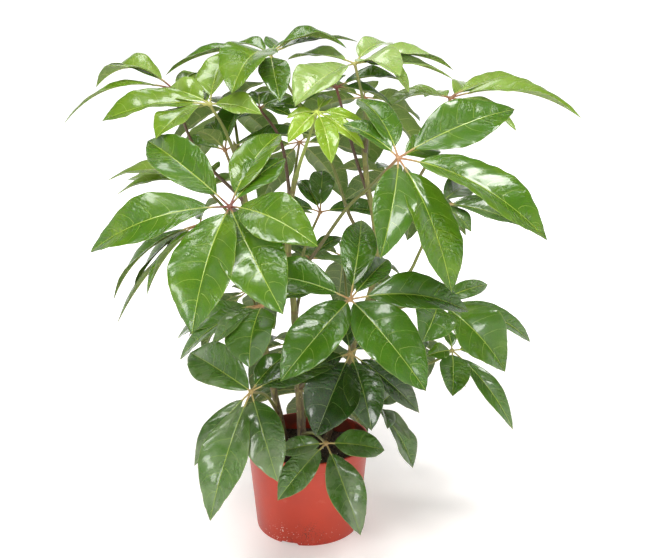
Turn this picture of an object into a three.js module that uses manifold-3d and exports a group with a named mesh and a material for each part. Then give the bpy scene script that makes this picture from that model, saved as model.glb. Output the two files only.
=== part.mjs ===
// A potted umbrella plant: a plastic grower's pot, its soil, three stems in one clump,
// and the palmate leaves that they carry. Millimetres, +Z up, and the front is -Y.
// The origin is the centre of the pot's flat bottom, so the pot stands on z = 0.
//
// Every leaf is one solid: a petiole, a hub, and the leaflets that spread from the hub.

import * as THREE from 'three';
import { mergeVertices } from 'three/addons/utils/BufferGeometryUtils.js';
import Module from 'manifold-3d';

const wasm = await Module();
wasm.setup();

// ---------------------------------------------------------------- driving dimensions

const POT_HEIGHT = 178;
const RIM_RADIUS = 120;         // outside of the rim band
const FOOT_RADIUS = 101.5;      // outside of the pot at its bottom
const POT_WALL = 2.5;
const POT_FLOOR = 3;
const RIM_BAND = 22;            // height of the band below the lip
const RIM_STEP = 2.2;           // how far the band stands out from the wall
const FOOT_CHAMFER = 2;
const POT_SIDES = 48;
const DRAIN_SLOTS = 4;
const DRAIN_WIDTH = 34;
const DRAIN_HEIGHT = 3.6;
const DRAIN_DEPTH = 9;
const DRAIN_TURN = 70;          // degrees, turns the ring of slots off the front

const SOIL_TOP = 146;           // soil level at the wall
const SOIL_MOUND = 7;           // how much higher it stands round the stems
const SOIL_SIDES = 32;

const GAP = 0.35;               // clearance between pieces that touch

const STEM_FOOT = 45;           // height of the stems' buried ends
const STEM_SIDES = 8;
const STEM_STEPS = 9;

const PETIOLE_SIDES = 4;
const PETIOLE_STEPS = 4;
const PETIOLE_FOOT_RADIUS = 3.6;
const PETIOLE_TOP_RADIUS = 2.4;
const PETIOLE_BOW = 0.07;       // upward bow of a free petiole, as a share of its length
const HUB_RADIUS = 4.6;

const STALK_SHARE = 0.13;       // a leaflet's own stalk, as a share of its reach
const STALK_HALF_WIDTH = 1.8;
const MIDRIB_HALF_THICKNESS = 1.1;
const FOLD = 0.2;               // how far a blade's edges rise, as a share of half its width
const FOLD_CHANGE = 0.22;       // the seeded change adds up to this much
const LEAFLET_ARCH = 20;        // degrees that a midrib rises above its chord at the hub

// Along a blade, from its base (0) to its tip (1): half width as a share of the widest.
const BLADE_OUTLINE = [[0, 0.09], [0.12, 0.58], [0.38, 0.97], [0.66, 0.95], [0.87, 0.5]];
const SMALL_BLADE_OUTLINE = [[0, 0.12], [0.26, 0.88], [0.72, 0.86]];
const SMALL_REACH = 141;        // leaflets shorter than this have the plainer outline

// ---------------------------------------------------------------- colours and finishes

const FINISHES = {
  pot: { color: 0xb8532f, roughness: 0.42, metalness: 0 },
  soil: { color: 0x2a1d14, roughness: 0.95, metalness: 0 },
  stem: { color: 0x6b6a3c, roughness: 0.75, metalness: 0 },
  leaf: { color: 0x3f7a24, roughness: 0.32, metalness: 0 },
  youngLeaf: { color: 0x86b52c, roughness: 0.3, metalness: 0 },
};

// ---------------------------------------------------------------- stems

// Each stem: its axis from the buried foot to the growing tip, and its radius at both ends.
const STEMS = {
  stem_centre: {
    axis: [[-6, -20, STEM_FOOT], [-8, -22, 150], [-14, -20, 238], [-24, -20, 446],
      [-34, -10, 572], [-28, -4, 640], [-18, -12, 694]],
    radius: [8.5, 4.6],
  },
  stem_right: {
    axis: [[26, 22, STEM_FOOT], [34, 22, 150], [66, 26, 270], [102, 24, 400],
      [128, 20, 510], [125, 20, 594], [110, 22, 680], [104, 26, 738]],
    radius: [8, 4.2],
  },
  stem_left: {
    axis: [[-40, 22, STEM_FOOT], [-44, 16, 150], [-60, -4, 250], [-76, -24, 357],
      [-92, -16, 480], [-107, 4, 600], [-120, 12, 700], [-128, 14, 738]],
    radius: [7.5, 4.2],
  },
};

// ---------------------------------------------------------------- leaves

// stem and from: where the petiole leaves its stem. via: points that the petiole passes.
// hub: where the leaflets meet. facing: the way the leaf's upper face looks, as a compass
// heading (0 = +X, -90 = the front) and a tilt from straight up, both in degrees.
// leaflets: heading, rise above the level, reach from hub to tip, width of the blade, the
// arch of the midrib in degrees where it isn't LEAFLET_ARCH, and the leaflet's own stalk
// where it isn't STALK_SHARE.
const LEAVES = {
  leaf_front_left: {
    stem: 'stem_left', from: 540, hub: [-109, -272, 682], facing: [-105, 45],
    leaflets: [[-178, -18, 226, 80, 28], [-112, -53, 208, 102, 20, 0.07],
      [-54, -43, 198, 96, 20, 0.07], [-30, -16, 162, 80, 28], [62, 32, 180, 66],
      [136, 22, 222, 76], [48, 27, 135, 60]],
  },
  leaf_front_right: {
    stem: 'stem_centre', from: 500, via: [[3, -24, 535], [74, -62, 643], [104, -100, 679]],
    hub: [149, -212, 748], facing: [-60, 42],
    leaflets: [[-105, -46, 184, 68], [-55, -55, 230, 88], [-20, -26, 262, 94, 26],
      [15, 20, 208, 84], [115, 30, 165, 66], [146, 24, 115, 52], [50, 3, 110, 50]],
  },
  leaf_front_middle: {
    stem: 'stem_centre', from: 370, hub: [75, -238, 526], facing: [-85, 40],
    leaflets: [[-39, -39, 190, 98, 20, 0.05], [-138, -35, 178, 82, 20, 0.05],
      [10, -9, 200, 72, 30], [82, 32, 185, 62], [160, 8, 172, 72], [58, 18, 130, 50]],
  },
  leaf_low_left: {
    stem: 'stem_left', from: 225, hub: [-91, -192, 350], facing: [-110, 42],
    leaflets: [[135, 9, 172, 80, 20, 0.03], [-117, -53, 221, 82], [-66, -42, 165, 74],
      [14, 13, 150, 55], [50, 25, 100, 48], [-152, -47, 155, 46]],
  },
  leaf_low_front: {
    stem: 'stem_centre', from: 192, hub: [36, -165, 242], facing: [-80, 35],
    leaflets: [[-145, -38, 129, 56], [-57, -50, 167, 66], [10, -12, 108, 60],
      [-178, -12, 85, 40]],
  },
  leaf_inner_front: {
    stem: 'stem_centre', from: 285, hub: [78, -120, 393], facing: [-80, 40],
    leaflets: [[-124, -48, 160, 98], [-66, -52, 142, 72], [-165, -24, 120, 50],
      [-6, -41, 165, 50], [100, 20, 110, 46], [40, 8, 105, 44]],
  },
  leaf_inner_left: {
    stem: 'stem_left', from: 385, hub: [-77, -90, 472], facing: [-130, 40],
    leaflets: [[-104, -50, 118, 110, 24, 0.06], [164, -36, 203, 52], [-165, -38, 118, 42],
      [148, -26, 225, 54], [20, 8, 90, 44]],
  },
  leaf_right: {
    stem: 'stem_right', from: 395, hub: [237, -60, 469], facing: [-70, 50],
    leaflets: [[-23, -42, 172, 102, 24], [12, -26, 205, 42, 30], [-114, -30, 100, 78],
      [35, 6, 125, 36], [125, -14, 90, 44]],
  },
  leaf_low_right: {
    stem: 'stem_right', from: 262, via: [[180, 30, 300], [246, 32, 322]],
    hub: [280, 38, 342], facing: [-75, 50],
    leaflets: [[-95, -40, 100, 64], [-29, -47, 190, 42, 30], [-150, 0, 62, 34],
      [95, 25, 60, 26], [35, -12, 130, 52]],
  },
  leaf_low_right_front: {
    stem: 'stem_right', from: 215, hub: [127, -80, 274], facing: [-50, 55],
    leaflets: [[-15, -58, 135, 50, 20, 0.22], [-80, -2, 90, 40], [60, 4, 90, 36],
      [-45, -25, 92, 34]],
  },
  young_leaf: {
    stem: 'stem_centre', from: 680, via: [[-8, -36, 722], [5, -60, 759]],
    hub: [21, -100, 810], facing: [-80, 35], young: true,
    leaflets: [[-140, -37, 78, 34], [-70, -48, 104, 40], [-20, -35, 102, 32],
      [12, -16, 88, 26], [72, 16, 74, 24], [180, -12, 52, 22]],
  },
  leaf_top_left: {
    stem: 'stem_left', from: 700, hub: [-159, -80, 821], facing: [-130, 38],
    leaflets: [[178, -9, 188, 76], [-130, -22, 128, 78], [77, 38, 138, 72, 14],
      [-19, -9, 96, 48], [148, 12, 98, 56], [105, 4, 110, 44]],
  },
  leaf_far_left: {
    stem: 'stem_left', from: 640, via: [[-195, 20, 725], [-227, 16, 806]],
    hub: [-237, 20, 841], facing: [-140, 10],
    leaflets: [[165, 0, 152, 80, 44], [-168, -17, 200, 46, 34], [148, 3, 187, 60, 34],
      [-130, -22, 97, 52, 14], [61, 9, 110, 46], [22, 7, 107, 46]],
  },
  leaf_crown: {
    stem: 'stem_right', from: 540, via: [[84, 30, 600], [45, 40, 706]],
    hub: [-63, 20, 901], facing: [-95, 10],
    leaflets: [[0, 4, 136, 72, 38], [22, 7, 170, 50], [-111, -22, 165, 100, 36],
      [137, 7, 110, 48], [168, -11, 201, 50, 25], [-78, -36, 130, 56], [80, 4, 130, 50]],
  },
  leaf_top_right: {
    stem: 'stem_right', from: 725, via: [[111, 20, 777], [102, 20, 821]],
    hub: [86, 0, 885], facing: [-85, 14],
    leaflets: [[-133, -24, 163, 90], [150, 2, 140, 54], [-46, -10, 108, 92, 28],
      [16, -4, 188, 54, 26], [4, -9, 178, 48], [54, 14, 125, 56, 26],
      [-24, -25, 112, 62, 40]],
  },
  leaf_top_middle: {
    stem: 'stem_right', from: 640, via: [[94, 34, 704]],
    hub: [54, 34, 843], facing: [-90, 16],
    leaflets: [[-135, -14, 112, 60], [13, 4, 125, 52, 26], [10, -20, 112, 42, 24],
      [95, 2, 110, 50], [140, -5, 100, 48]],
  },
  leaf_far_right: {
    stem: 'stem_right', from: 560, via: [[219, 50, 697], [251, 62, 768]],
    hub: [265, 80, 821], facing: [-65, 16],
    leaflets: [[-10, -8, 240, 76, 28], [24, 2, 190, 58, 30], [-28, -23, 140, 50],
      [-172, -8, 124, 62, 28], [120, -2, 80, 44], [60, 2, 150, 60]],
  },
  leaf_back_right: {
    stem: 'stem_right', from: 440, via: [[189, 2, 507], [205, 10, 536]],
    hub: [250, 60, 626], facing: [-60, 35],
    leaflets: [[-2, -16, 180, 52], [18, -13, 195, 44], [-30, -36, 80, 46],
      [60, 5, 140, 56], [110, 5, 110, 50]],
  },
  leaf_back_middle: {
    stem: 'stem_centre', from: 480, hub: [24, 100, 603], facing: [-80, 30],
    leaflets: [[88, 28, 135, 52], [18, -6, 138, 50], [112, 22, 122, 46],
      [165, 4, 120, 46]],
  },
  leaf_inner_small: {
    stem: 'stem_centre', from: 425, hub: [5, 60, 520], facing: [-60, 20],
    leaflets: [[50, 15, 100, 36], [0, -12, 85, 32], [130, 5, 80, 40], [155, 15, 75, 34]],
  },
  leaf_left: {
    stem: 'stem_left', from: 555, hub: [-186, 30, 661], facing: [-140, 22],
    leaflets: [[180, 4, 182, 56, 34], [168, -6, 178, 42, 28], [153, 0, 188, 50],
      [-143, 21, 100, 42], [90, 8, 140, 54], [40, 0, 110, 46]],
  },
  leaf_upper_left: {
    stem: 'stem_left', from: 600, hub: [-150, 45, 729], facing: [-150, 30],
    leaflets: [[-112, 24, 105, 38], [75, 32, 150, 70], [112, 22, 110, 42],
      [6, 8, 172, 46], [158, 0, 100, 44]],
  },
  leaf_lower_left: {
    stem: 'stem_left', from: 470, hub: [-190, -30, 606], facing: [-170, 45],
    leaflets: [[173, -41, 226, 48, 26], [-163, -51, 160, 54], [160, -48, 280, 42, 12],
      [154, -43, 215, 44], [80, 10, 110, 46]],
  },
  leaf_upper_middle: {
    stem: 'stem_centre', from: 640, via: [[-46, 6, 752]],
    hub: [-87, 62, 804], facing: [-90, 30],
    leaflets: [[-30, -10, 72, 34], [-130, -16, 66, 34], [50, 6, 90, 42],
      [95, 20, 70, 40], [140, 11, 75, 38], [-2, 2, 85, 38]],
  },
};

// Leaves on the far side follow one rule: leaflets spread evenly round the hub, the ones
// that point out and down are longest, and each is turned a little by a seeded draw.
const REAR_LEAVES = {
  rear_leaf_low_right: { stem: 'stem_right', from: 230, hub: [190, 175, 330], turn: 5 },
  rear_leaf_low_middle: { stem: 'stem_centre', from: 215, hub: [-40, 200, 300], turn: 30 },
  rear_leaf_low_left: { stem: 'stem_left', from: 300, hub: [-120, 165, 430], turn: 15 },
  rear_leaf_middle: { stem: 'stem_right', from: 330, hub: [70, 245, 480], turn: 20 },
  rear_leaf_left: { stem: 'stem_left', from: 430, hub: [-125, 235, 560], turn: 0 },
  rear_leaf_right: { stem: 'stem_right', from: 500, hub: [185, 215, 650], turn: 10 },
  rear_leaf_upper_middle: { stem: 'stem_centre', from: 560, hub: [-20, 255, 720], turn: 25 },
  rear_leaf_upper_left: { stem: 'stem_left', from: 680, hub: [-150, 185, 800], turn: 8 },
  rear_leaf_upper_right: { stem: 'stem_right', from: 690, hub: [110, 190, 815], turn: 18 },
  rear_leaf_foot: { stem: 'stem_centre', from: 196, hub: [5, 130, 218], turn: 10 },
};
const REAR_LEAFLETS = 6;
const REAR_TILT = 38;
const REAR_DROOP = 14;
const REAR_REACH = 155;
const REAR_REACH_CHANGE = 35;
const REAR_WIDTH_SHARE = 0.4;

// ---------------------------------------------------------------- small maths

const UP = new THREE.Vector3(0, 0, 1);
const radians = THREE.MathUtils.degToRad;

// The same number every run for the same seed, from 0 up to 1.
function draw(seed) {
  const value = Math.sin(seed * 127.1 + 311.7) * 43758.5453;
  return value - Math.floor(value);
}

function direction(heading, rise) {
  const level = Math.cos(radians(rise));
  return new THREE.Vector3(Math.cos(radians(heading)) * level,
    Math.sin(radians(heading)) * level, Math.sin(radians(rise)));
}

// ---------------------------------------------------------------- solids

function solidOf(geometry) {
  const bare = geometry.clone();
  bare.deleteAttribute('normal');
  bare.deleteAttribute('uv');
  const merged = mergeVertices(bare, 1e-4);
  return new wasm.Manifold(new wasm.Mesh({
    numProp: 3,
    vertProperties: new Float32Array(merged.attributes.position.array),
    triVerts: new Uint32Array(merged.index.array),
  }));
}

// Cutting can leave a loose scrap: the largest body is the piece.
function largestPart(solid) {
  return solid.decompose().sort((a, b) => b.volume() - a.volume())[0];
}

function geometryOf(solid) {
  const { vertProperties, triVerts, numProp } = solid.getMesh();
  const geometry = new THREE.BufferGeometry();
  const points = new Float32Array(vertProperties.length / numProp * 3);
  for (let i = 0; i < points.length / 3; i += 1) {
    points.set(vertProperties.subarray(i * numProp, i * numProp + 3), i * 3);
  }
  geometry.setAttribute('position', new THREE.BufferAttribute(points, 3));
  geometry.setIndex(new THREE.BufferAttribute(new Uint32Array(triVerts), 1));
  geometry.computeVertexNormals();
  return geometry;
}

// A closed skin over rings of points. Each ring turns the same way round the path, and
// every ring has as many points. The ends are closed by a fan, or drawn to a last point.
function loft(rings, lastPoint = null) {
  const count = rings[0].length;
  const points = rings.flat();
  const faces = [];
  for (let ring = 0; ring < rings.length - 1; ring += 1) {
    for (let i = 0; i < count; i += 1) {
      const here = ring * count + i;
      const next = ring * count + (i + 1) % count;
      const evenSide = i % 2 === 0;
      if (evenSide) faces.push([here, next, next + count], [here, next + count, here + count]);
      else faces.push([here, next, here + count], [next, next + count, here + count]);
    }
  }
  for (let i = 1; i < count - 1; i += 1) faces.push([0, i + 1, i]);
  const end = (rings.length - 1) * count;
  if (lastPoint) {
    points.push(lastPoint);
    const tip = points.length - 1;
    for (let i = 0; i < count; i += 1) faces.push([end + i, end + (i + 1) % count, tip]);
  } else {
    for (let i = 1; i < count - 1; i += 1) faces.push([end, end + i, end + i + 1]);
  }
  const geometry = new THREE.BufferGeometry().setFromPoints(points);
  geometry.setIndex(faces.flat());
  return geometry;
}

// A tube along a curve, its radius changing evenly from one end to the other.
function tube(curve, steps, sides, footRadius, topRadius) {
  const frames = curve.computeFrenetFrames(steps, false);
  const rings = [];
  for (let step = 0; step <= steps; step += 1) {
    const share = step / steps;
    const centre = curve.getPointAt(share);
    const radius = THREE.MathUtils.lerp(footRadius, topRadius, share);
    const ring = [];
    for (let side = 0; side < sides; side += 1) {
      const turn = side / sides * Math.PI * 2;
      ring.push(centre.clone()
        .addScaledVector(frames.normals[step], Math.cos(turn) * radius)
        .addScaledVector(frames.binormals[step], Math.sin(turn) * radius));
    }
    rings.push(ring);
  }
  return loft(rings);
}

// ---------------------------------------------------------------- pot and soil

function wallRadius(height) {
  const topRadius = RIM_RADIUS - RIM_STEP;
  return THREE.MathUtils.lerp(FOOT_RADIUS, topRadius, height / POT_HEIGHT);
}

function latheZ(profile, sides) {
  const geometry = new THREE.LatheGeometry(profile.map(([r, z]) => new THREE.Vector2(r, z)), sides);
  return geometry.rotateX(Math.PI / 2);
}

function potSolid() {
  const bandFoot = POT_HEIGHT - RIM_BAND;
  const profile = [
    [0, 0],
    [FOOT_RADIUS - FOOT_CHAMFER, 0],
    [FOOT_RADIUS, FOOT_CHAMFER],
    [wallRadius(bandFoot), bandFoot],
    [wallRadius(bandFoot) + RIM_STEP, bandFoot + 1.5],
    [RIM_RADIUS, POT_HEIGHT - 1.5],
    [RIM_RADIUS - 1, POT_HEIGHT],
    [RIM_RADIUS - RIM_STEP - POT_WALL + 1, POT_HEIGHT],
    [RIM_RADIUS - RIM_STEP - POT_WALL, POT_HEIGHT - 1.5],
    [wallRadius(POT_FLOOR) - POT_WALL, POT_FLOOR],
    [0, POT_FLOOR],
  ];
  let pot = solidOf(latheZ(profile, POT_SIDES));
  for (let slot = 0; slot < DRAIN_SLOTS; slot += 1) {
    const block = new THREE.BoxGeometry(DRAIN_DEPTH * 2, DRAIN_WIDTH, DRAIN_HEIGHT * 2);
    block.translate(FOOT_RADIUS, 0, 0);
    block.rotateZ(radians(DRAIN_TURN + slot * 360 / DRAIN_SLOTS));
    pot = pot.subtract(solidOf(block));
  }
  return pot;
}

function soilSolid(stems) {
  const side = (height) => wallRadius(height) - POT_WALL - GAP;
  const foot = POT_FLOOR + GAP;
  const profile = [
    [0, foot],
    [side(foot), foot],
    [side(SOIL_TOP), SOIL_TOP],
    [side(SOIL_TOP) * 0.8, SOIL_TOP + SOIL_MOUND * 0.3],
    [side(SOIL_TOP) * 0.45, SOIL_TOP + SOIL_MOUND],
    [0, SOIL_TOP + SOIL_MOUND],
  ];
  let soil = solidOf(latheZ(profile, SOIL_SIDES));
  for (const stem of Object.values(stems)) soil = soil.subtract(stem.clearance);
  return soil;
}

// ---------------------------------------------------------------- stems

function stemSolids({ axis, radius: [footRadius, topRadius] }) {
  const curve = new THREE.CatmullRomCurve3(axis.map((point) => new THREE.Vector3(...point)));
  const grown = (extra) => solidOf(tube(curve, STEM_STEPS, STEM_SIDES,
    footRadius + extra, topRadius + extra));
  return { curve, solid: grown(0), clearance: grown(GAP) };
}

// The point on a stem's axis at a given height.
function stemPoint(curve, height) {
  let low = 0;
  let high = 1;
  for (let i = 0; i < 30; i += 1) {
    const middle = (low + high) / 2;
    if (curve.getPointAt(middle).z < height) low = middle;
    else high = middle;
  }
  return curve.getPointAt(low);
}

// ---------------------------------------------------------------- leaves

// One leaflet. A ring is left edge, upper midrib, right edge, lower midrib, so both faces
// of the blade are split into triangles alike. The midrib is a shallow parabola.
function leafletSolid(hub, facing, leaflet, seed) {
  const [heading, rise, reach, width, arch = LEAFLET_ARCH, stalk = STALK_SHARE] = leaflet;
  const along = direction(heading, rise);
  const across = new THREE.Vector3().crossVectors(facing, along).normalize();
  const outward = new THREE.Vector3().crossVectors(along, across);
  const fold = FOLD + FOLD_CHANGE * draw(seed);
  const wave = 0.07 * width;
  const phase = draw(seed + 0.5) * Math.PI * 2;
  const midrib = (share) => hub.clone()
    .addScaledVector(along, share * reach)
    .addScaledVector(outward, Math.tan(radians(arch)) * reach * share * (1 - share));
  const ring = (share, halfWidth, lift) => {
    const centre = midrib(share);
    const edge = (side) => centre.clone()
      .addScaledVector(across, side * halfWidth)
      .addScaledVector(outward, halfWidth * fold + lift * side);
    return [edge(1), centre.clone().addScaledVector(outward, MIDRIB_HALF_THICKNESS),
      edge(-1), centre.clone().addScaledVector(outward, -MIDRIB_HALF_THICKNESS)];
  };
  const rings = [ring(-HUB_RADIUS * 0.4 / reach, STALK_HALF_WIDTH, 0)];
  const outline = reach < SMALL_REACH ? SMALL_BLADE_OUTLINE : BLADE_OUTLINE;
  for (const [share, widthShare] of outline) {
    const halfWidth = width / 2 * widthShare;
    const lift = wave * widthShare * Math.sin(phase + share * 8);
    rings.push(ring(stalk + share * (1 - stalk), halfWidth, lift));
  }
  return solidOf(loft(rings, midrib(1)));
}

function petioleSolid(start, via, hub) {
  const bow = start.distanceTo(hub) * PETIOLE_BOW;
  const between = via
    ? via.map((point) => new THREE.Vector3(...point))
    : [start.clone().lerp(hub, 0.5).addScaledVector(UP, bow)];
  const curve = new THREE.CatmullRomCurve3([start, ...between, hub]);
  return solidOf(tube(curve, PETIOLE_STEPS, PETIOLE_SIDES,
    PETIOLE_FOOT_RADIUS, PETIOLE_TOP_RADIUS));
}

function leafSolid(leaf, stem, seed) {
  const hub = new THREE.Vector3(...leaf.hub);
  const facing = direction(leaf.facing[0], 90 - leaf.facing[1]);
  const knob = new THREE.OctahedronGeometry(HUB_RADIUS, 0).translate(hub.x, hub.y, hub.z);
  let solid = solidOf(knob).add(petioleSolid(stemPoint(stem.curve, leaf.from), leaf.via, hub));
  leaf.leaflets.forEach((leaflet, i) => {
    solid = solid.add(leafletSolid(hub, facing, leaflet, seed * 10 + i));
  });
  return largestPart(solid.subtract(stem.clearance));
}

// Writes out a rear leaf in the same terms as the others. The leaf's plane is tilted away
// from the clump, and leaflets lie on a flat cone below that plane.
function rearLeaf({ stem, from, hub, turn }, seed) {
  const outward = THREE.MathUtils.radToDeg(Math.atan2(hub[1], hub[0]));
  const facing = direction(outward, 90 - REAR_TILT);
  const downhill = direction(outward, -REAR_TILT);
  const level = new THREE.Vector3().crossVectors(facing, downhill);
  const leaflets = [];
  for (let i = 0; i < REAR_LEAFLETS; i += 1) {
    const round = radians(turn + i * 360 / REAR_LEAFLETS + 16 * (draw(seed * 10 + i) - 0.5));
    const droop = radians(REAR_DROOP + 8 * draw(seed * 10 + i + 0.3));
    const way = new THREE.Vector3()
      .addScaledVector(downhill, Math.cos(round) * Math.cos(droop))
      .addScaledVector(level, Math.sin(round) * Math.cos(droop))
      .addScaledVector(facing, -Math.sin(droop));
    const heading = THREE.MathUtils.radToDeg(Math.atan2(way.y, way.x));
    const rise = THREE.MathUtils.radToDeg(Math.asin(way.z));
    const reach = REAR_REACH + REAR_REACH_CHANGE * Math.cos(round);
    leaflets.push([heading, rise, reach, reach * REAR_WIDTH_SHARE]);
  }
  return { stem, from, hub, facing: [outward, REAR_TILT], leaflets };
}

// ---------------------------------------------------------------- assembly

const materials = Object.fromEntries(Object.entries(FINISHES)
  .map(([name, finish]) => [name, new THREE.MeshStandardMaterial(finish)]));

const plant = new THREE.Group();

function addPiece(name, solid, material) {
  const mesh = new THREE.Mesh(geometryOf(solid), material);
  mesh.name = name;
  plant.add(mesh);
}

const stems = Object.fromEntries(Object.entries(STEMS)
  .map(([name, stem]) => [name, stemSolids(stem)]));

addPiece('pot', potSolid(), materials.pot);
addPiece('soil', soilSolid(stems), materials.soil);
for (const [name, stem] of Object.entries(stems)) addPiece(name, stem.solid, materials.stem);

const allLeaves = { ...LEAVES };
Object.entries(REAR_LEAVES).forEach(([name, leaf], i) => {
  allLeaves[name] = rearLeaf(leaf, i + 50);
});
Object.entries(allLeaves).forEach(([name, leaf], i) => {
  const material = leaf.young ? materials.youngLeaf : materials.leaf;
  addPiece(name, leafSolid(leaf, stems[leaf.stem], i + 1), material);
});

export default plant;
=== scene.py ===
"""Looks for a potted umbrella plant, built in Blender 4.5 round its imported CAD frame.

Metres, +Z up, the front is -Y, and the origin is the centre of the pot's foot. Sizes that
a grower would quote are in millimetres, and MM turns them into metres.

Every piece is a skin: runs of rings of points, worked out whole with numpy and joined by
faces. A leaf is one piece, with its petiole, its hub, and its leaflets on their stalks.
"""

import math

import bpy
import numpy as np
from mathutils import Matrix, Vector


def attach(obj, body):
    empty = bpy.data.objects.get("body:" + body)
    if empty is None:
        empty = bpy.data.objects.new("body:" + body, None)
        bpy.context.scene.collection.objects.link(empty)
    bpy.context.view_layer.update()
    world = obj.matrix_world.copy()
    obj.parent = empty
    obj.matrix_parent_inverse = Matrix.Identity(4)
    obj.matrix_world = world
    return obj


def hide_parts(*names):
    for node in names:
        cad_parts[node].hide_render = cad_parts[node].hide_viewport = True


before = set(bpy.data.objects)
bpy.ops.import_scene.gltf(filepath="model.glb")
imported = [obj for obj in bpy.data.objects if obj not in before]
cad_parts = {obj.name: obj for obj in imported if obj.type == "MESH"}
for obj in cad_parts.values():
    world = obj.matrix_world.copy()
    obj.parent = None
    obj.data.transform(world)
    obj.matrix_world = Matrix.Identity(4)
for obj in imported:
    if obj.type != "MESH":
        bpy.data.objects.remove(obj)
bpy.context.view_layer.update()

MM = 0.001
UP = np.array([0.0, 0.0, 1.0])

# ------------------------------------------------------------------ driving dimensions

POT_HEIGHT = 178
RIM_RADIUS = 120                # outside of the rim band
FOOT_RADIUS = 101.5             # outside of the pot at its bottom
POT_WALL = 2.5
POT_FLOOR = 3
RIM_BAND = 22
RIM_STEP = 2.2                  # how far the rim band stands out from the wall
DRAIN_NOTCHES = 4
DRAIN_WIDTH = 34
DRAIN_HEIGHT = 3.6
DRAIN_DEPTH = 9
DRAIN_TURN = 70                 # degrees
SOIL_TOP = 146
SOIL_MOUND = 7
SOIL_LUMPS = 2.2                # how high they rise
SOIL_GAP = 0.5                  # between the soil and the pot's wall
CRUMBS = 1100
CRUMB_SEED = 11
CRUMB_RADIUS = (0.9, 2.6)
POT_SIDES = 192
SOIL_SIDES = 128
SOIL_RINGS = 44                 # across the top of the soil

STEM_SIDES = 24
STEM_RINGS = 170
BUD_LENGTH = 13
SCAR_SPACING = 37               # between the scars of fallen leaves
SCAR_CHANGE = 12
JOINT_SWELLING = 0.13           # of a stem's radius where a leaf joins it
SCAR_RIDGE = 0.07               # and at a scar

PETIOLE_SIDES = 12
PETIOLE_RINGS = 34
PETIOLE_FOOT_RADIUS = 3.6
PETIOLE_TOP_RADIUS = 2.3
PETIOLE_FOOT_SWELLING = 0.45    # as a share of its radius
PETIOLE_TOP_SWELLING = 0.35
PETIOLE_BOW = 0.07              # upward bow of a free petiole, as a share of its length
HUB_RADIUS = 4.8
HUB_FLATNESS = 0.75             # its height as a share of its width
HUB_RIBS = 5
STALK_RADIUS = 1.5              # of a leaflet's own stalk
STALK_SHARE = 0.13              # a leaflet's stalk, as a share of its reach
LEAFLET_ARCH = 20               # degrees that a midrib rises above its chord at the hub
FOLD = 0.2                      # how far a blade's edges rise, as a share of half its width
FOLD_CHANGE = 0.22              # the seeded change adds up to this much
BLADE_THICKNESS = 0.45
RIB_HALF_WIDTH = 1.5            # of a midrib where the blade begins
VEIN_SPACING = 29
BLADE_STEP = 5.5                # between the rings of a blade
SWAY = 0.03                     # sideways bend of a midrib, as a share of its reach
TOOTH = 0.03                    # depth of a margin's teeth, as a share of half the width
FLUTTER = 0.02                  # of a margin, as a share of half the width
PUFF = 0.9                      # how high a blade rises between its veins

# Each stem: its axis from the buried foot to the growing tip, and its radius at both ends.
STEMS = {
    "stem_centre": dict(
        axis=[(-6, -20, 45), (-8, -22, 150), (-14, -20, 238), (-24, -20, 446),
            (-34, -10, 572), (-28, -4, 640), (-18, -12, 694)],
        radius=(8.5, 4.6),
    ),
    "stem_right": dict(
        axis=[(26, 22, 45), (34, 22, 150), (66, 26, 270), (102, 24, 400),
            (128, 20, 510), (125, 20, 594), (110, 22, 680), (104, 26, 738)],
        radius=(8, 4.2),
    ),
    "stem_left": dict(
        axis=[(-40, 22, 45), (-44, 16, 150), (-60, -4, 250), (-76, -24, 357),
            (-92, -16, 480), (-107, 4, 600), (-120, 12, 700), (-128, 14, 738)],
        radius=(7.5, 4.2),
    ),
}


def grow(stem, start, hub, facing, *leaflets, via=(), tone=None, red=0.5, young=False):
    """One leaf, for the list below.

    stem and start: where the petiole leaves its stem. hub: where the leaflets meet. facing:
    the way the leaf's upper face looks, as a compass heading (0 = +X, -90 = the front) and
    a tilt from straight up, both in degrees. Each leaflet: heading, rise above the level,
    reach from hub to tip, width of the blade, the arch of the midrib in degrees where it
    isn't LEAFLET_ARCH, and its own stalk where it isn't STALK_SHARE. via: places that the
    petiole passes. tone: of its green, where 0 is deep, 0.5 mid green, 1 bright, and more
    mixes in a painted milky sheen; the deep end, on low and inner leaves, is partly painted
    shade. red: how red its stalks are, from 0 to 1."""
    return dict(stem="stem_" + stem, start=start, hub=hub, facing=facing, leaflets=leaflets,
        via=via, tone=tone, red=red, young=young)


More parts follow.
